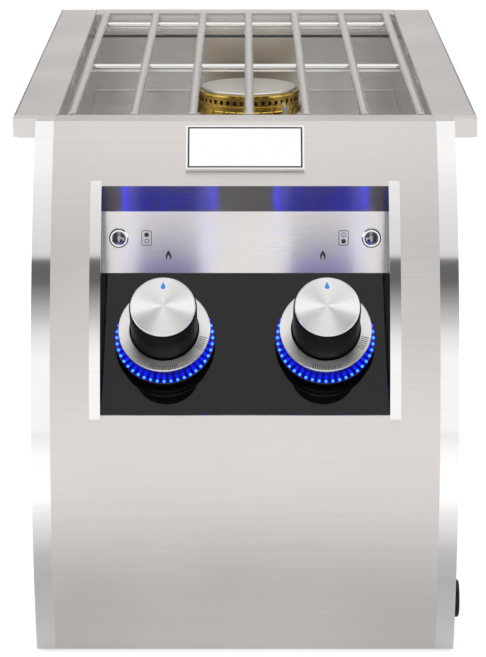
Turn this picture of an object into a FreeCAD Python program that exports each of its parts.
import FreeCAD
import Part
import math
import os
from FreeCAD import Vector, Rotation, Placement

# Built in double side burner, in millimetres
# The burner hangs in a counter cut-out from a folded deck flange
# A bowed face with two angled gas knobs closes the front of the counter
# X points right, Y points back, Z points up, and the base stands on Z = 0

# Deck flange that rests on the counter
deck_width = 305.0
deck_length = 503.0
deck_height = 338.0
flange_front_y = 5.0
flange_side_width = 30.0
flange_rear_width = 21.0
flange_sheet = 1.5
flange_lip = 14.7
flange_bend = 2.0
flange_inner_round = 1.3
flange_foot_round = 4.0
flange_corner_cut = 8.0
flange_rear_hang = 17.4

# Bowed face: one arc seen from the side
face_width = 272.0
face_gap_below = 2.0
face_sheet = 1.5
bow_radius = 343.0
bow_centre_y = 237.5
bow_centre_z = 106.0
trim_width = 12.0
trim_depth = 18.0
face_return_y = 8.0
face_foot_return = 16.0
lip_clearance = 0.3

# Control recess in the face
recess_half_width = 93.0
recess_top_z = 301.1
recess_bottom_z = 164.1
glass_tilt = 40.0
glass_length = 101.4
glass_thickness = 4.0
glass_foot_y = -98.8
glass_foot_z = 163.5
strip_lean = 4.0
strip_length = 40.4
strip_sheet = 1.5
soffit_sheet = 1.5
rail_width = 7.0
rail_proud = 2.5
rail_top_z = 304.6
rail_bottom_z = 162.3

# Nameplate, left blank
badge_width = 76.4
badge_height = 32.0
badge_thickness = 3.0
badge_centre_z = 322.0
badge_line = 1.1
badge_line_inset = 1.2

# Indicator lamps on the label strip
lamp_spacing = 164.0
lamp_drop = 17.4
lamp_radius = 6.3
lamp_rim = 2.1
lamp_dome_radius = 7.0
lamp_dome_height = 2.2

# Knobs, measured along the knob axis from the glass
knob_spacing = 103.0
knob_rise = 0.8
bezel_radius = 32.2
bezel_height = 7.0
light_ring_inner = 29.7
light_ring_outer = 31.7
light_ring_depth = 1.6
dial_radius = 29.5
dial_height = 20.0
dial_bore = 22.0
barrel_radius = 21.3
barrel_foot = 13.5
cap_radius = 20.5
cap_rim_height = 53.0
cap_crown = 1.2
stem_radius = 4.0
running_gap = 0.05

# Gas valves behind the glass, along the same axis
bonnet_top = -6.0
bonnet_foot = -28.0
rotor_foot = -48.0
rotor_radius = 7.0
valve_foot = -52.0
valve_radius = 12.0
outlet_foot = -60.0
manifold_axis_drop = -28.0
manifold_axis_depth = -38.0
manifold_radius = 11.0
manifold_bore = 8.6
manifold_left_x = -80.0

# Pan under the grate
pan_half_width = 122.6
pan_front_y = 8.0
pan_rear_y = 480.0
pan_depth = 64.5
pan_sheet = 1.2
pan_rim_width = 16.0
pan_rim_front_y = 7.0
pan_rear_wall_drop = 20.0
pan_roll_height = 3.0
pan_bend = 1.5
slot_length = 34.0
slot_height = 3.5
slot_drop = 5.0
slot_places = (173.0, 308.0, 455.0)

# Grate of round bars, set a little wider apart at the left
bar_diameter = 6.0
bar_places = (-114.0, -73.0, -34.6, 2.8, 40.6, 78.8, 115.6)
bar_top_proud = 2.0
grate_front_y = 10.0
grate_rear_y = 477.5
rest_drop = 12.0
rest_depth = 18.0
rest_turn_down = 3.0
rod_places = (30.0, 244.0, 458.0)
rod_overhang = 2.0

# Burners
burner_places = (131.0, 351.0)
burner_x = 2.8
ring_radius = 39.5
ring_wall = 4.0
ring_top_drop = 40.0
ring_height = 17.0
ring_shoulder = 2.0
ring_foot_proud = 1.6
ring_foot_drop = 12.6
ring_notch_count = 26
ring_notch_width = 1.4
port_count = 44
port_width = 2.5
port_height = 3.0
port_drop = 6.2
cap_disc_radius = 37.2
cap_disc_height = 1.6
cap_skirt_foot_drop = 50.2
base_seat_drop = 50.5
base_floor_drop = 114.0
tube_axis_drop = 100.0
tube_mouth_y = -74.0
mixing_tube_radius = 12.0
mixing_tube_wall = 1.2
jet_y = -96.0
feed_tube_radius = 4.75
feed_tube_bend = 9.5
igniter_angle = -54.0
igniter_reach = 48.5
electrode_radius = 2.5

# Body below the counter
body_half_width = 127.4
body_sheet = 1.2
body_rear_y = 497.2
body_side_top_drop = 20.0
body_front_inset = 5.0
base_front_inset = 8.0
base_edge_height = 14.0
shield_y = 22.0
shield_hole_radius = 7.5
hold_down_radius = 3.4
vent_rows = 3
vent_columns = 7
vent_length = 22.0
vent_height = 5.0
rear_feed_z = 152.0

# Screws of the body
screw_places = (60, 200, 340, 470)
screw_low_z = 7.5
screw_high_z = 296
rear_screw_x = 119
rear_screw_heights = (40, 160, 280)

# Gas inlet at the lower right
inlet_z = 24.5
inlet_end_x = 141.5
inlet_radius = 12.5
inlet_bore = 9.4
manifold_end_x = 98.0

tilt = math.radians(glass_tilt)
lean = math.radians(strip_lean)
glass_mid_y = glass_foot_y + glass_length / 2 * math.sin(tilt)
glass_mid_z = glass_foot_z + glass_length / 2 * math.cos(tilt)
glass_top_y = glass_foot_y + glass_length * math.sin(tilt)
glass_top_z = glass_foot_z + glass_length * math.cos(tilt)
strip_top_y = glass_top_y + strip_length * math.sin(lean)
strip_top_z = glass_top_z + strip_length * math.cos(lean)
knob_places = (-knob_spacing / 2, knob_spacing / 2)
knob_foot_y = glass_mid_y + knob_rise * math.sin(tilt)
knob_foot_z = glass_mid_z + knob_rise * math.cos(tilt)

# The lower rim of the cap is the foremost point of the whole burner
knob_reach = -knob_foot_y + cap_rim_height * math.cos(tilt) + cap_radius * math.sin(tilt)
shift_y = (knob_reach - deck_length) / 2


def box(x0, x1, y0, y1, z0, z1):
    return Part.makeBox(x1 - x0, y1 - y0, z1 - z0, Vector(x0, y0, z0))


def side_prism(points, x0, x1):
    """Solid with a straight-sided outline in the YZ plane, between two X values."""
    wire = Part.makePolygon([Vector(x0, y, z) for y, z in points + points[:1]])
    return Part.Face(wire).extrude(Vector(x1 - x0, 0, 0))


def turned(profile):
    """Solid of revolution about Z from (radius, height) points."""
    wire = Part.makePolygon([Vector(r, 0, t) for r, t in profile + profile[:1]])
    return Part.Face(wire).revolve(Vector(0, 0, 0), Vector(0, 0, 1), 360)


def rod(radius, start, end):
    direction = end - start
    return Part.makeCylinder(radius, direction.Length, start, direction)


def at_knob(shape, x):
    """Stands a shape made along Z on the glass, pointing out along the knob axis."""
    placed = shape.copy()
    foot = Vector(x, knob_foot_y, knob_foot_z)
    placed.Placement = Placement(foot, Rotation(Vector(1, 0, 0), 90 - glass_tilt))
    return placed


def mirrored(shape):
    return shape.mirror(Vector(0, 0, 0), Vector(1, 0, 0))


def bow_y(z, inset=0.0):
    return bow_centre_y - math.sqrt((bow_radius - inset) ** 2 - (z - bow_centre_z) ** 2)


def bow_band(outer_inset, inner_inset, z0, z1, x0, x1):
    """Curved slab between two arcs that share the bow's centre."""
    corners = []
    for inset in (outer_inset, inner_inset):
        corners.append([Vector(x0, bow_y(z, inset), z) for z in (z0, (z0 + z1) / 2, z1)])
    outer, inner = corners
    edges = [
        Part.Arc(*outer).toShape(),
        Part.LineSegment(outer[2], inner[2]).toShape(),
        Part.Arc(inner[2], inner[1], inner[0]).toShape(),
        Part.LineSegment(inner[0], outer[0]).toShape(),
    ]
    return Part.Face(Part.Wire(edges)).extrude(Vector(x1 - x0, 0, 0))


def bent_path(points, radius):
    """Straight runs joined by tangent arcs of one radius."""
    edges = []
    start = points[0]
    for before, corner, after in zip(points, points[1:], points[2:]):
        arriving = (corner - before).normalize()
        leaving = (after - corner).normalize()
        turn = arriving.getAngle(leaving)
        trim = radius * math.tan(turn / 2)
        arc_start = corner - arriving * trim
        arc_end = corner + leaving * trim
        inward = (leaving - arriving).normalize()
        middle = corner + inward * (radius / math.cos(turn / 2) - radius)
        edges.append(Part.LineSegment(start, arc_start).toShape())
        edges.append(Part.Arc(arc_start, middle, arc_end).toShape())
        start = arc_end
    edges.append(Part.LineSegment(start, points[-1]).toShape())
    return Part.Wire(edges)


def bent_rod(points, bend_radius, radius):
    """Round bar swept along a bent path."""
    start = points[0]
    direction = points[1] - points[0]
    section = Part.Wire(Part.makeCircle(radius, start, direction))
    return bent_path(points, bend_radius).makePipeShell([section], True, False)


def bent_tube(points, bend_radius, radius, wall):
    return bent_rod(points, bend_radius, radius).cut(bent_rod(points, bend_radius, radius - wall))


def deck_flange_side():
    """Right-hand deck flange with its outer, front and rear lips folded down."""
    outer = deck_width / 2
    inner = outer - flange_side_width
    under = deck_height - flange_sheet
    low = deck_height - flange_lip
    front = flange_front_y
    block = box(inner, outer, front, deck_length, low, deck_height)
    bends = []
    for edge in block.Edges:
        middle = edge.CenterOfMass
        if abs(middle.z - deck_height) < 0.01 and middle.x > inner + 1:
            bends.append(edge)
    block = block.makeFillet(flange_bend, bends)
    inner_edge = [edge for edge in block.Edges if abs(edge.CenterOfMass.x - inner) < 0.01]
    inner_edge = [edge for edge in inner_edge if abs(edge.CenterOfMass.z - deck_height) < 0.01]
    block = block.makeFillet(flange_inner_round, inner_edge)
    rear = deck_length - flange_sheet
    hollow = box(inner - 1, outer - flange_sheet, front + flange_sheet, rear, low - 1, under)
    reach = flange_foot_round
    corner = box(outer - reach, outer + 1, front - 1, front + flange_sheet + 0.01, low - 1, low + reach)
    round_off = Part.makeCylinder(reach, flange_sheet + 3, Vector(outer - reach, front - 2, low + reach),
                                  Vector(0, 1, 0))
    return block.cut(hollow).cut(corner.cut(round_off))


def deck_flange_rear():
    """Strip that joins the side flanges behind the grate, with an inner hanging lip."""
    inner = deck_width / 2 - flange_side_width
    under = deck_height - flange_sheet
    front = deck_length - flange_rear_width
    strip = box(-inner, inner, front, deck_length, under, deck_height)
    rear_lip = box(-inner, inner, deck_length - flange_sheet, deck_length, deck_height - flange_lip, under)
    hanging = box(-inner, inner, front, front + pan_sheet, deck_height - flange_rear_hang, under)
    shape = strip.fuse([rear_lip, hanging])
    for side in (-1, 1):
        x = side * inner
        corners = [Vector(x, front, under), Vector(x - side * flange_corner_cut, front, under)]
        corners.append(Vector(x, front - flange_corner_cut, under))
        gusset = Part.Face(Part.makePolygon(corners + corners[:1]))
        shape = shape.fuse(gusset.extrude(Vector(0, 0, flange_sheet)))
    return shape.removeSplitter()


def front_face():
    """Bowed brushed sheet, folded back at the top and the foot, open at the recess."""
    half = face_width / 2 - trim_width
    low = face_gap_below
    top_y = bow_y(deck_height)
    foot_y = bow_y(low)
    tongue = deck_width / 2 - flange_side_width - lip_clearance
    return_y = flange_front_y - lip_clearance
    under = deck_height - face_sheet
    sheet = bow_band(0, face_sheet, low, deck_height, -half, half)
    top_return = box(-half, half, top_y, return_y, under, deck_height)
    top_return = top_return.fuse(box(-tongue, tongue, return_y, face_return_y, under, deck_height))
    foot_return = box(-half, half, foot_y, foot_y + face_foot_return, low, low + face_sheet)
    opening = box(-recess_half_width, recess_half_width, -130, 60, recess_bottom_z, recess_top_z)
    return sheet.fuse([top_return, foot_return]).removeSplitter().cut(opening)


def face_trim():
    """Right-hand polished edge trim: an angle that follows the bow and folds back at the top."""
    outer = face_width / 2
    inner = outer - trim_width
    low = face_gap_below
    front = bow_band(0, face_sheet, low, deck_height, inner, outer)
    flank = bow_band(0, trim_depth, low, deck_height - 1, outer - face_sheet, outer)
    top_y = bow_y(deck_height)
    return_y = flange_front_y - lip_clearance
    top_return = box(inner, outer, top_y, return_y, deck_height - face_sheet, deck_height)
    lip_foot = deck_height - flange_lip - lip_clearance
    notch = box(inner - 1, outer + 1, return_y, trim_depth + return_y, lip_foot, deck_height + 1)
    return front.fuse([flank, top_return]).removeSplitter().cut(notch)


def recess_rail():
    """Right-hand polished rail that borders the recess and stands proud of the face."""
    inner = recess_half_width - 1
    return bow_band(-rail_proud, 0, rail_bottom_z, rail_top_z, inner, inner + rail_width)


def recess_soffit():
    """Mirror strip that closes the top of the recess and looks down at the knobs."""
    y0 = bow_y(recess_top_z, face_sheet)
    run = strip_top_y - y0
    drop = recess_top_z - strip_top_z
    length = math.hypot(run, drop)
    up_y = soffit_sheet * drop / length
    up_z = soffit_sheet * run / length
    points = [(y0, recess_top_z), (strip_top_y, strip_top_z)]
    points += [(strip_top_y + up_y, strip_top_z + up_z), (y0 + up_y, recess_top_z + up_z)]
    return side_prism(points, -recess_half_width, recess_half_width)


def label_strip():
    """Brushed strip above the glass, leaning slightly back."""
    back_y = strip_sheet * math.cos(lean)
    back_z = -strip_sheet * math.sin(lean)
    points = [(strip_top_y, strip_top_z), (glass_top_y, glass_top_z)]
    points += [(glass_top_y + back_y, glass_top_z + back_z), (strip_top_y + back_y, strip_top_z + back_z)]
    strip = side_prism(points, -recess_half_width, recess_half_width)
    for x in (-lamp_spacing / 2, lamp_spacing / 2):
        strip = strip.cut(at_lamp(Part.makeCylinder(4.6, 8, Vector(0, 0, -5)), x))
    return strip


def control_glass():
    """Black glass plate that carries the knob bezels."""
    back_y = glass_thickness * math.cos(tilt)
    back_z = -glass_thickness * math.sin(tilt)
    points = [(glass_top_y, glass_top_z), (glass_foot_y, glass_foot_z)]
    points += [(glass_foot_y + back_y, glass_foot_z + back_z), (glass_top_y + back_y, glass_top_z + back_z)]
    plate = side_prism(points, -recess_half_width, recess_half_width)
    for x in knob_places:
        plate = plate.cut(at_knob(Part.makeCylinder(stem_radius + 2, 20, Vector(0, 0, -10)), x))
    return plate


def recess_cheeks():
    """Dark side walls of the recess, behind the rails."""
    y_top = bow_y(recess_top_z, face_sheet)
    y_foot = bow_y(glass_foot_z - 2, face_sheet)
    middle_z = (recess_top_z + glass_foot_z) / 2
    middle = Vector(recess_half_width, bow_y(middle_z, face_sheet), middle_z)
    start = Vector(recess_half_width, y_top, recess_top_z)
    end = Vector(recess_half_width, y_foot, glass_foot_z - 2)
    bend = Vector(end.x, glass_top_y + 5, glass_top_z - 4)
    corners = [end, bend, Vector(end.x, strip_top_y + 2, strip_top_z)]
    edges = [Part.Arc(start, middle, end).toShape()]
    for first, second in zip(corners, corners[1:] + [start]):
        edges.append(Part.LineSegment(first, second).toShape())
    cheek = Part.Face(Part.Wire(edges)).extrude(Vector(body_sheet, 0, 0))
    return Part.makeCompound([cheek, mirrored(cheek)])


def at_lamp(shape, x):
    """Sets a shape made along Z on the label strip, pointing out of it."""
    placed = shape.copy()
    y = strip_top_y - lamp_drop * math.sin(lean)
    z = strip_top_z - lamp_drop * math.cos(lean)
    placed.Placement = Placement(Vector(x, y, z), Rotation(Vector(1, 0, 0), 90 - strip_lean))
    return placed


def lamp_bezels():
    bore = lamp_radius - lamp_rim
    ring = turned([(bore, 0), (lamp_radius, 0), (lamp_radius, 0.9), (lamp_radius - 0.8, 1.6),
                   (bore + 0.4, 1.6), (bore, 1.2)])
    return Part.makeCompound([at_lamp(ring, x) for x in (-lamp_spacing / 2, lamp_spacing / 2)])


def lamp_lenses():
    radius = lamp_radius - lamp_rim
    dome = Part.makeSphere(lamp_dome_radius, Vector(0, 0, lamp_dome_height - lamp_dome_radius))
    lens = dome.common(Part.makeCylinder(radius, 6.0, Vector(0, 0, -3.0)))
    return Part.makeCompound([at_lamp(lens, x) for x in (-lamp_spacing / 2, lamp_spacing / 2)])


def at_badge(shape):
    placed = shape.copy()
    slope = math.degrees(math.asin((badge_centre_z - bow_centre_z) / bow_radius))
    y = bow_y(badge_centre_z)
    placed.Placement = Placement(Vector(0, y, badge_centre_z), Rotation(Vector(1, 0, 0), 90 - slope))
    return placed


def badge_frame(outset):
    """Outline block of the border line, made a chosen amount larger than the line itself."""
    half_x = badge_width / 2 - badge_line_inset
    half_y = badge_height / 2 - badge_line_inset
    top = badge_thickness + outset
    low = badge_thickness - 0.6
    outer = box(-half_x, half_x, -half_y, half_y, low, top)
    line = badge_line
    inner = box(-half_x + line, half_x - line, -half_y + line, half_y - line, low - 1, top + 1)
    return outer.cut(inner)


def badge_plate():
    """Blank plate with bevelled edges and a shallow groove for its border line."""
    half_x = badge_width / 2
    half_y = badge_height / 2
    block = box(-half_x, half_x, -half_y, half_y, 0.2, badge_thickness)
    top_edges = [edge for edge in block.Edges if abs(edge.CenterOfMass.z - badge_thickness) < 0.01]
    block = block.makeChamfer(0.5, top_edges)
    return at_badge(block.cut(badge_frame(1.0)))


def badge_border():
    return at_badge(badge_frame(0.0))


def led_bezels():
    """Black dishes that stand on the glass and hold the light rings."""
    top = bezel_height
    ring_bed = top - light_ring_depth
    outside = [(stem_radius + 2, 0), (17, 0), (bezel_radius, 4.6)]
    outside += [(bezel_radius, top - 0.3), (bezel_radius - 0.3, top)]
    groove = [(light_ring_outer, top), (light_ring_outer, ring_bed), (light_ring_inner, ring_bed),
              (light_ring_inner, top)]
    profile = outside + groove + [(stem_radius + 2, top)]
    return Part.makeCompound([at_knob(turned(profile), x) for x in knob_places])


def light_rings():
    """Clear light guides sunk into the bezels round the dials."""
    low = bezel_height - light_ring_depth
    profile = [(light_ring_inner, low), (light_ring_outer, low), (light_ring_outer, bezel_height - 0.2),
               (light_ring_inner, bezel_height - 0.2)]
    return Part.makeCompound([at_knob(turned(profile), x) for x in knob_places])


def dials():
    """Fixed brushed dials: a flat ring on a polished skirt."""
    top = dial_height
    skirt = dial_radius - 1.2
    profile = [(skirt, bezel_height), (dial_radius, bezel_height), (dial_radius, top - 0.5)]
    profile += [(dial_radius - 0.5, top), (dial_bore, top), (dial_bore, top - 1.4), (skirt, top - 1.4)]
    return Part.makeCompound([at_knob(turned(profile), x) for x in knob_places])


def knob_barrel():
    """Black knob body with a hub that grips the stem."""
    roof = cap_rim_height - 1.5
    wall = 2.0
    profile = [(stem_radius, 20), (8, 20), (8, roof - 2.5), (barrel_radius - wall, roof - 2.5),
               (barrel_radius - wall, barrel_foot), (barrel_radius - 0.4, barrel_foot),
               (barrel_radius, barrel_foot + 0.4), (barrel_radius, roof - 0.8), (barrel_radius - 0.8, roof),
               (0, roof), (0, roof - 5), (stem_radius, roof - 5)]
    return turned(profile)


def knob_cap():
    """Spun metal cap with a low crown and a fine bevel at its rim."""
    foot = cap_rim_height - 1.5
    rim = Vector(cap_radius - 0.6, 0, cap_rim_height)
    peak = Vector(0, 0, cap_rim_height + cap_crown)
    half_way = cap_radius * 0.5
    sphere = (cap_crown ** 2 + rim.x ** 2) / (2 * cap_crown)
    height = peak.z - sphere + math.sqrt(sphere ** 2 - half_way ** 2)
    corners = [peak, Vector(0, 0, foot), Vector(cap_radius - 0.5, 0, foot)]
    corners += [Vector(cap_radius, 0, foot + 0.5), Vector(cap_radius, 0, cap_rim_height - 0.6), rim]
    edges = [Part.LineSegment(a, b).toShape() for a, b in zip(corners, corners[1:])]
    edges.append(Part.Arc(rim, Vector(half_way, 0, height), peak).toShape())
    crown = Part.Face(Part.Wire(edges)).revolve(Vector(0, 0, 0), Vector(0, 0, 1), 360)
    return crown.cut(pointer_drop(foot, cap_rim_height + cap_crown))


def pointer_drop(low, high):
    """Drop-shaped pin near the cap's upper rim, its point towards the rim."""
    centre = 13.2
    radius = 1.55
    tip = Vector(0, centre + 4.4, low)
    reach = math.sqrt((tip.y - centre) ** 2 - radius ** 2)
    angle = math.asin(radius / (tip.y - centre))
    right = Vector(reach * math.sin(angle), tip.y - reach * math.cos(angle), low)
    left = Vector(-right.x, right.y, low)
    foot = Vector(0, centre - radius, low)
    edges = [Part.LineSegment(tip, right).toShape(), Part.Arc(right, foot, left).toShape()]
    edges.append(Part.LineSegment(left, tip).toShape())
    return Part.Face(Part.Wire(edges)).extrude(Vector(0, 0, high - low))


def knob_pointer():
    foot = cap_rim_height - 1.5
    return pointer_drop(foot, cap_rim_height + cap_crown * 0.45)


def valve_stem():
    """Sliding shaft with the collar that stops it against the bonnet's roof."""
    shaft = rod(stem_radius, Vector(0, 0, -38), Vector(0, 0, cap_rim_height - 6.5))
    collar = rod(6.8, Vector(0, 0, bonnet_top - 4.0), Vector(0, 0, bonnet_top - 2.2))
    return shaft.fuse(collar).removeSplitter()


def return_spring():
    """Outer form of the coil spring between the collar and the bonnet floor."""
    low = bonnet_foot + 2.2
    high = bonnet_top - 4.0
    return turned([(stem_radius + 0.6, low), (6.4, low), (6.4, high), (stem_radius + 0.6, high)])


def valve_rotor():
    """Plug that meters the gas, bored for the sliding stem."""
    plug = rod(rotor_radius, Vector(0, 0, rotor_foot), Vector(0, 0, bonnet_foot - 0.1))
    bore = rod(stem_radius + running_gap, Vector(0, 0, rotor_foot + 3), Vector(0, 0, 0))
    port = rod(1.2, Vector(0, 0, rotor_foot + 2.2), Vector(0, 20, rotor_foot + 2.2))
    return plug.cut(bore).cut(port)


def valve_bonnets():
    low = bonnet_foot
    high = bonnet_top
    hole = stem_radius + running_gap
    profile = [(hole, low), (11.5, low), (11.5, low + 3), (10, low + 3), (10, high), (hole, high),
               (hole, high - 2), (7.2, high - 2), (7.2, low + 2), (hole, low + 2)]
    return Part.makeCompound([at_knob(turned(profile), x) for x in knob_places])


def valve_bodies():
    """Brass bodies with the outlet spigot behind and the boss that meets the manifold."""
    body = rod(valve_radius, Vector(0, 0, valve_foot), Vector(0, 0, bonnet_foot))
    axis = Vector(0, manifold_axis_drop, manifold_axis_depth)
    boss = rod(8, Vector(0, -10, manifold_axis_depth), axis)
    spigot = rod(6.5, Vector(0, 0, outlet_foot), Vector(0, 0, valve_foot + 1))
    bore = rod(rotor_radius + running_gap, Vector(0, 0, rotor_foot - 0.1), Vector(0, 0, 0))
    outlet = rod(2.5, Vector(0, 0, outlet_foot - 1), Vector(0, 0, rotor_foot))
    rail = rod(manifold_radius, axis - Vector(40, 0, 0), axis + Vector(40, 0, 0))
    shape = body.fuse([boss, spigot]).cut(bore).cut(outlet).cut(rail)
    return Part.makeCompound([at_knob(shape, x) for x in knob_places])


def manifold_line(x):
    """Point on the manifold's axis, below the valves."""
    axis = at_knob(Part.Vertex(0, manifold_axis_drop, manifold_axis_depth), x)
    return axis.Vertexes[0].Point


def gas_manifold():
    """Pipe with closed ends that feeds both valves."""
    left = manifold_line(manifold_left_x)
    right = manifold_line(manifold_end_x)
    end_wall = Vector(3, 0, 0)
    return rod(manifold_radius, left, right).cut(rod(manifold_bore, left + end_wall, right - end_wall))


def inlet_pipe():
    """Black pipe from the inlet coupling up to the manifold's end."""
    top = manifold_line(manifold_end_x)
    foot = inlet_corner()
    points = [top, Vector(foot.x, top.y, top.z), foot + Vector(0, 0, 14)]
    return bent_tube(points, 10.0, 7.0, 1.6)


def inlet_corner():
    """Point below the manifold's end where the supply line turns upward."""
    end = manifold_line(manifold_end_x)
    return Vector(end.x + 12, end.y, inlet_z)


def inlet_coupling():
    """Black gas coupling that passes through the right side panel, open for the supply pipe."""
    corner = inlet_corner()
    inlet_y = corner.y
    inner_x = inlet_end_x - 40
    body = rod(inlet_radius, Vector(inner_x, inlet_y, inlet_z), Vector(inlet_end_x, inlet_y, inlet_z))
    rim = [edge for edge in body.Edges if abs(edge.CenterOfMass.x - inlet_end_x) < 0.01]
    body = body.makeFillet(1.5, rim)
    mouth = Vector(inlet_end_x, inlet_y, inlet_z)
    bore = rod(inlet_bore, mouth - Vector(20, 0, 0), mouth + Vector(1, 0, 0))
    neck = rod(9.0, corner, corner + Vector(0, 0, 20))
    socket = rod(7.0, corner + Vector(0, 0, 14), corner + Vector(0, 0, 30))
    passage = rod(5.0, corner, corner + Vector(0, 0, 30))
    link = rod(5.0, corner, Vector(inlet_end_x - 10, inlet_y, inlet_z))
    return body.fuse(neck).cut(bore).cut(socket).cut(passage).cut(link)


def burner_centre(place):
    return Vector(burner_x, place, deck_height)


def burner_ring(place):
    """Brass flame ring: a rounded shoulder, a row of square ports and a notched foot."""
    top = -ring_top_drop
    low = top - ring_height
    inner = ring_radius - ring_wall
    foot = ring_radius + ring_foot_proud
    foot_top = top - ring_foot_drop
    middle = top - port_drop
    round_radius = ring_radius - ring_shoulder * (1 - math.sin(math.radians(45)))
    round_z = top - ring_shoulder * (1 - math.cos(math.radians(45)))
    groove = ring_radius - 0.5
    profile = [(inner, low), (foot, low), (foot, foot_top - 0.6), (foot - 0.6, foot_top)]
    profile += [(ring_radius, foot_top), (ring_radius, middle - port_height)]
    profile += [(groove, middle - port_height + 0.3)]
    profile += [(groove, middle + port_height - 0.3), (ring_radius, middle + port_height)]
    profile += [(ring_radius, top - ring_shoulder), (round_radius, round_z)]
    profile += [(ring_radius - ring_shoulder, top), (inner, top)]
    cuts = []
    for index in range(port_count):
        port = box(inner - 1, ring_radius + 1, -port_width / 2, port_width / 2,
                   middle - port_height / 2, middle + port_height / 2)
        port.rotate(Vector(0, 0, 0), Vector(0, 0, 1), 360 * index / port_count)
        cuts.append(port)
    for index in range(ring_notch_count):
        half = ring_notch_width / 2
        notch = box(ring_radius, foot + 1, -half, half, low - 1, foot_top + 1)
        notch.rotate(Vector(0, 0, 0), Vector(0, 0, 1), 360 * (index + 0.5) / ring_notch_count)
        cuts.append(notch)
    ring = turned(profile).cut(Part.makeCompound(cuts))
    ring.translate(burner_centre(place))
    return ring


def burner_cap(place):
    """Loose lid that lies on the ring; its skirt centres it in the base."""
    under = -ring_top_drop
    top = under + cap_disc_height
    foot = -cap_skirt_foot_drop
    profile = [(0, top), (0, under), (24, under), (24, foot), (26, foot), (26, under),
               (cap_disc_radius, under), (cap_disc_radius, top - 0.7), (cap_disc_radius - 0.7, top)]
    disc = turned(profile)
    disc.translate(burner_centre(place))
    return disc


def burner_base(place):
    """Cast bowl under the ring; it drops through the pan floor to the mixing tube."""
    rim = -ring_top_drop - ring_height
    seat = -base_seat_drop
    flange = -pan_depth
    floor = -base_floor_drop
    outside = [(0, floor), (18, floor), (24, floor + 10), (26, -78), (30, -70), (33, flange)]
    outside += [(37.5, flange), (37.5, rim), (26.5, rim), (26.5, seat)]
    inside = [(23, seat), (23, -66), (20, -86), (14, floor + 4), (0, floor + 4)]
    bowl = turned(outside + inside)
    mouth = rod(mixing_tube_radius, Vector(0, -60, -tube_axis_drop), Vector(0, 0, -tube_axis_drop))
    bowl = bowl.cut(mouth)
    bowl.translate(burner_centre(place))
    return bowl


def mixing_tube(place):
    """Tube with a flared mouth where gas draws in air."""
    axis = -tube_axis_drop
    start = Vector(0, tube_mouth_y, axis)
    along = Vector(0, 1, 0)
    flare_length = 10
    flare_radius = mixing_tube_radius + 3
    outer = rod(mixing_tube_radius, start, Vector(0, -12, axis))
    flare = Part.makeCone(flare_radius, mixing_tube_radius, flare_length, start, along)
    bore = rod(mixing_tube_radius - mixing_tube_wall, start - along, Vector(0, 0, axis))
    mouth = Part.makeCone(flare_radius - mixing_tube_wall, mixing_tube_radius - mixing_tube_wall,
                          flare_length, start, along)
    tube = outer.fuse(flare).cut(bore).cut(mouth)
    tube.translate(burner_centre(place))
    return tube


def orifice(place):
    """Brass jet at the end of a feed tube, aimed into the mixing tube."""
    foot = Vector(0, jet_y, -tube_axis_drop)
    along = Vector(0, 1, 0)
    nut_radius = 8
    nut_length = 9
    turns = [math.radians(60 * k) for k in range(7)]
    corners = [Vector(nut_radius * math.cos(turn), 0, nut_radius * math.sin(turn)) for turn in turns]
    nut = Part.Face(Part.makePolygon(corners)).extrude(along * nut_length)
    nut.translate(foot)
    nose = Part.makeCone(4, 2.2, 8, foot + along * nut_length, along)
    bore = rod(0.7, foot - along, foot + along * 26)
    jet = nut.fuse(nose).cut(bore)
    jet.translate(burner_centre(place))
    return jet


def feed_tube(x, route):
    """Aluminium tube from a valve outlet to a jet."""
    start = at_knob(Part.Vertex(0, 0, outlet_foot), x).Vertexes[0].Point
    run = 22.0
    first_bend = start + Vector(0, run * math.cos(tilt), -run * math.sin(tilt))
    return bent_tube([start, first_bend] + route, feed_tube_bend, feed_tube_radius, 1.0)


def feed_tube_front():
    """Feed of the front burner, from the right-hand valve."""
    end = Vector(burner_x, burner_places[0] + jet_y, deck_height - tube_axis_drop)
    x = knob_places[1]
    route = [Vector(x, -2, 190), Vector(x - 20, 0, end.z), Vector(end.x, 4, end.z), end]
    return feed_tube(x, route)


def feed_tube_rear():
    """Feed of the rear burner, from the left-hand valve, past the front burner."""
    end = Vector(burner_x, burner_places[1] + jet_y, deck_height - tube_axis_drop)
    x = knob_places[0]
    turn_y = end.y - 22
    route = [Vector(x, 60, rear_feed_z), Vector(x, 150, end.z), Vector(x, turn_y, end.z),
             Vector(end.x, turn_y, end.z), end]
    return feed_tube(x, route)


def igniter_place(place):
    """Foot of the igniter, beside the ring on the right towards the front."""
    angle = math.radians(igniter_angle)
    floor = deck_height - pan_depth
    return Vector(burner_x + igniter_reach * math.cos(angle), place + igniter_reach * math.sin(angle), floor)


def igniter_brackets():
    """Brass clamps that hold the electrodes up to the ports."""
    pieces = []
    for place in burner_places:
        post = box(-4, 4, -4, 4, 0, 6)
        arm = box(-6.5, 6.5, -4, 4, 4, 10)
        bracket = post.fuse(arm).removeSplitter()
        upright = [edge for edge in bracket.Edges if abs(edge.tangentAt(edge.FirstParameter).z) > 0.99]
        bracket = bracket.makeFillet(1.2, upright)
        bracket = bracket.cut(rod(electrode_radius, Vector(0, 0, -1), Vector(0, 0, 20)))
        bracket.rotate(Vector(0, 0, 0), Vector(0, 0, 1), igniter_angle + 90)
        bracket.translate(igniter_place(place))
        pieces.append(bracket)
    return Part.makeCompound(pieces)


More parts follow.
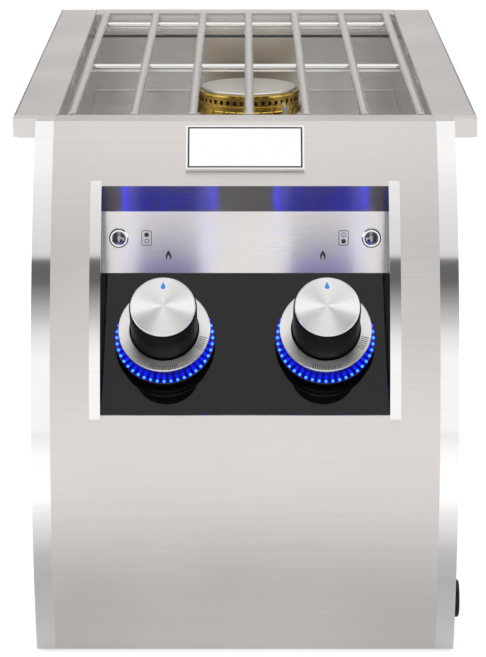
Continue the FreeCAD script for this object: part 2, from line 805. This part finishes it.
def igniter_electrodes():
    """Ceramic rods with a steel tip bent towards the ports."""
    pieces = []
    for place in burner_places:
        foot = igniter_place(place)
        ceramic = rod(electrode_radius, foot + Vector(0, 0, -12), foot + Vector(0, 0, 16))
        inward = (Vector(burner_x, place, foot.z) - foot).normalize()
        tip = rod(0.8, foot + Vector(0, 0, 15), foot + Vector(0, 0, 19) + inward * 4)
        pieces.append(ceramic.fuse(tip))
    return Part.makeCompound(pieces)


def burner_pan():
    """Polished pan with side slots, floor openings for the burners and turned-out rims."""
    half = pan_half_width
    sheet = pan_sheet
    floor = deck_height - pan_depth
    under = deck_height - flange_sheet
    outer = box(-half - sheet, half + sheet, pan_front_y - sheet, pan_rear_y + sheet, floor - sheet, under)
    inner = box(-half, half, pan_front_y, pan_rear_y, floor, under + 1)
    foot_edges = [edge for edge in inner.Edges if abs(edge.CenterOfMass.z - floor) < 0.01]
    inner = inner.makeFillet(pan_bend, foot_edges)
    pan = outer.cut(inner)
    rear_top = deck_height - pan_rear_wall_drop
    pan = pan.cut(box(-half - 5, half + 5, pan_rear_y - 0.5, pan_rear_y + 5, rear_top, under + 1))
    roll = box(-half, half, pan_rear_y - sheet, pan_rear_y + 0.1, rear_top - pan_roll_height, rear_top)
    roll = roll.makeFillet(0.9, [edge for edge in roll.Edges
                                 if edge.CenterOfMass.y < pan_rear_y - sheet + 0.01 and edge.Length > half])
    pan = pan.fuse(roll)
    slot_middle = deck_height - slot_drop
    for side in (-1, 1):
        rim_x = sorted([side * half, side * (half + pan_rim_width)])
        wall_x = sorted([side * (half - 2), side * (half + 5)])
        pan = pan.fuse(box(rim_x[0], rim_x[1], pan_rim_front_y, pan_rear_y, under - sheet, under))
        for place in slot_places:
            pan = pan.cut(box(wall_x[0], wall_x[1], place - slot_length / 2, place + slot_length / 2,
                              slot_middle - slot_height / 2, slot_middle + slot_height / 2))
    for place in burner_places:
        pan = pan.cut(Part.makeCylinder(33.6, 20, Vector(burner_x, place, floor - 10)))
        pan = pan.cut(Part.makeCylinder(electrode_radius + 0.7, 20, igniter_place(place) - Vector(0, 0, 10)))
    return pan


def grate_rest(rear):
    """Folded angle under the bar ends: an upright flange and a ledge with a turned-down edge."""
    top = deck_height - rest_drop
    under = deck_height - flange_sheet
    half = pan_half_width - 0.5
    wall = pan_sheet
    y = pan_rear_y - 0.2 if rear else pan_front_y + 0.2
    inward = -1 if rear else 1
    edge_y = y + inward * rest_depth
    spans = [(y, y + inward * wall, top - wall, under), (y, edge_y, top - wall, top)]
    spans.append((edge_y - inward * wall, edge_y, top - rest_turn_down, top))
    blocks = [box(-half, half, min(a, b), max(a, b), low, high) for a, b, low, high in spans]
    return blocks[0].fuse(blocks[1:]).removeSplitter()


def grate_bars():
    """Seven straight bars with square-cut ends, on short feet that stand on the rests."""
    radius = bar_diameter / 2
    axis_z = deck_height + bar_top_proud - radius
    foot_z = deck_height - rest_drop
    bars = []
    for x in bar_places:
        bar = rod(radius, Vector(x, grate_front_y, axis_z), Vector(x, grate_rear_y, axis_z))
        feet = []
        for y in (grate_front_y + radius, grate_rear_y - radius):
            feet.append(rod(radius - 0.05, Vector(x, y, foot_z), Vector(x, y, axis_z)))
        bars.append(bar.fuse(feet))
    return Part.makeCompound(bars)


def grate_cross_rods():
    """Polished rods welded under the bars."""
    radius = bar_diameter / 2
    z = deck_height + bar_top_proud - bar_diameter - radius
    left = bar_places[0] - rod_overhang
    right = bar_places[-1] + rod_overhang
    return Part.makeCompound([rod(radius, Vector(left, y, z), Vector(right, y, z)) for y in rod_places])


def body_side():
    """Right-hand side panel; its front edge follows the bow."""
    outer = body_half_width
    inner = outer - body_sheet
    top = deck_height - body_side_top_drop
    low = body_sheet
    inset = body_front_inset
    middle_z = (top + low) / 2
    start = Vector(inner, bow_y(low, inset), low)
    middle = Vector(inner, bow_y(middle_z, inset), middle_z)
    end = Vector(inner, bow_y(top, inset), top)
    corners = [end, Vector(inner, body_rear_y, top), Vector(inner, body_rear_y, low), start]
    edges = [Part.Arc(start, middle, end).toShape()]
    edges += [Part.LineSegment(a, b).toShape() for a, b in zip(corners, corners[1:])]
    return Part.Face(Part.Wire(edges)).extrude(Vector(body_sheet, 0, 0))


def side_panel_right():
    corner = inlet_corner()
    return body_side().cut(rod(inlet_radius + 0.5, corner, corner + Vector(60, 0, 0)))


def base_panel():
    """Floor of the body, with upturned side edges and four hold-down holes."""
    half = body_half_width - body_sheet
    front = bow_y(body_sheet, base_front_inset)
    rear = body_rear_y - 4
    floor = box(-body_half_width, body_half_width, front, body_rear_y, 0, body_sheet)
    left = box(-half, -half + body_sheet, front + 12, rear, body_sheet, base_edge_height)
    right = box(half - body_sheet, half, front + 40, rear, body_sheet, base_edge_height)
    holes = [Part.makeCylinder(hold_down_radius, 10, Vector(x, y, -2)) for x in (-90, 90) for y in (0, 420)]
    return floor.fuse([left, right]).removeSplitter().cut(Part.makeCompound(holes))


def back_panel():
    """Rear sheet with rows of cooling slots."""
    half = body_half_width - body_sheet
    top = deck_height - body_side_top_drop
    sheet = box(-half, half, body_rear_y - body_sheet, body_rear_y, body_sheet, top)
    slots = []
    for row in range(vent_rows):
        for column in range(vent_columns):
            x = (column - (vent_columns - 1) / 2) * 30
            z = 60 + row * 16
            slots.append(box(x - vent_length / 2, x + vent_length / 2, body_rear_y - 5, body_rear_y + 5,
                             z - vent_height / 2, z + vent_height / 2))
    return sheet.cut(Part.makeCompound(slots))


def heat_shield():
    """Upright sheet between the burner box and the controls, holed for the feed tubes."""
    half = body_half_width - body_sheet - 0.2
    top = deck_height - pan_depth - pan_sheet
    sheet = box(-half, half, shield_y, shield_y + body_sheet, body_sheet, top)
    for x, z in ((burner_x, deck_height - tube_axis_drop), (knob_places[0], rear_feed_z)):
        sheet = sheet.cut(rod(shield_hole_radius, Vector(x, shield_y - 5, z), Vector(x, shield_y + 5, z)))
    corner_x = body_half_width - 2 * body_sheet - 0.2
    for near, far in ((corner_x, half + 1), (-half - 1, -corner_x)):
        sheet = sheet.cut(box(near, far, shield_y - 2, shield_y + 4, 0, base_edge_height + 2))
    return sheet


def ignition_module():
    """Spark generator box on the base, with two lead sockets."""
    left = -112
    front = -52
    top = 36
    body = box(left, left + 46, front, front + 36, body_sheet, top)
    body = body.makeFillet(2.0, [edge for edge in body.Edges if edge.CenterOfMass.z > top / 2])
    sockets = []
    for x in (left + 12, left + 34):
        sockets.append(rod(4, Vector(x, front + 18, top - 1), Vector(x, front + 18, top + 8)))
    return body.fuse(sockets)


def lamp_driver():
    """Low-voltage supply of the knob lights and lamps, fixed to the base."""
    top = 26
    body = box(-30, 40, -56, -22, body_sheet, top)
    return body.makeFillet(2.0, [edge for edge in body.Edges if edge.CenterOfMass.z > top / 2 + 1])


def chassis_screws():
    """Pan-head screws that join the side panels to the pan, the base and the rear."""
    head = turned([(0, 0), (3.8, 0), (3.8, 0.8), (2.6, 2.0), (0, 2.4)])
    slot_cut = box(-3, 3, -0.5, 0.5, 1.6, 3).fuse(box(-0.5, 0.5, -3, 3, 1.6, 3))
    head = head.cut(slot_cut)
    screws = []
    for side in (-1, 1):
        turn = Rotation(Vector(0, 1, 0), 90 * side)
        for y in screw_places:
            for z in (screw_low_z, screw_high_z):
                screw = head.copy()
                screw.Placement = Placement(Vector(side * body_half_width, y, z), turn)
                screws.append(screw)
        for z in rear_screw_heights:
            screw = head.copy()
            foot = Vector(side * rear_screw_x, body_rear_y, z)
            screw.Placement = Placement(foot, Rotation(Vector(1, 0, 0), -90))
            screws.append(screw)
    return Part.makeCompound(screws)


nodes = {
    "deck_flange_right": deck_flange_side(),
    "deck_flange_left": mirrored(deck_flange_side()),
    "deck_flange_rear": deck_flange_rear(),
    "front_face": front_face(),
    "face_trim_right": face_trim(),
    "face_trim_left": mirrored(face_trim()),
    "recess_rail_right": recess_rail(),
    "recess_rail_left": mirrored(recess_rail()),
    "recess_soffit": recess_soffit(),
    "label_strip": label_strip(),
    "control_glass": control_glass(),
    "recess_cheeks": recess_cheeks(),
    "lamp_bezels": lamp_bezels(),
    "lamp_lenses": lamp_lenses(),
    "badge_plate": badge_plate(),
    "badge_border": badge_border(),
    "led_bezels": led_bezels(),
    "light_rings": light_rings(),
    "dials": dials(),
    "valve_bonnets": valve_bonnets(),
    "valve_bodies": valve_bodies(),
    "gas_manifold": gas_manifold(),
    "inlet_pipe": inlet_pipe(),
    "inlet_coupling": inlet_coupling(),
    "feed_tube_front": feed_tube_front(),
    "feed_tube_rear": feed_tube_rear(),
    "igniter_brackets": igniter_brackets(),
    "igniter_electrodes": igniter_electrodes(),
    "burner_pan": burner_pan(),
    "grate_rest_front": grate_rest(False),
    "grate_rest_rear": grate_rest(True),
    "grate_bars": grate_bars(),
    "grate_cross_rods": grate_cross_rods(),
    "side_panel_right": side_panel_right(),
    "side_panel_left": mirrored(body_side()),
    "base_panel": base_panel(),
    "back_panel": back_panel(),
    "heat_shield": heat_shield(),
    "ignition_module": ignition_module(),
    "lamp_driver": lamp_driver(),
    "chassis_screws": chassis_screws(),
}
for name, x in zip(("left", "right"), knob_places):
    nodes["knob_barrel_" + name] = at_knob(knob_barrel(), x)
    nodes["knob_cap_" + name] = at_knob(knob_cap(), x)
    nodes["knob_pointer_" + name] = at_knob(knob_pointer(), x)
    nodes["valve_stem_" + name] = at_knob(valve_stem(), x)
    nodes["return_spring_" + name] = at_knob(return_spring(), x)
    nodes["valve_rotor_" + name] = at_knob(valve_rotor(), x)
for name, place in zip(("front", "rear"), burner_places):
    nodes["burner_cap_" + name] = burner_cap(place)
for name, maker in (("burner_rings", burner_ring), ("burner_bases", burner_base),
                    ("mixing_tubes", mixing_tube), ("orifices", orifice)):
    nodes[name] = Part.makeCompound([maker(place) for place in burner_places])

os.makedirs("parts", exist_ok=True)
for name, shape in nodes.items():
    shape.translate(Vector(0, shift_y, 0))
    shape.exportStep("parts/" + name + ".step")
    print(name, len(shape.Solids), "solids, valid", shape.isValid(), "volume", round(shape.Volume))
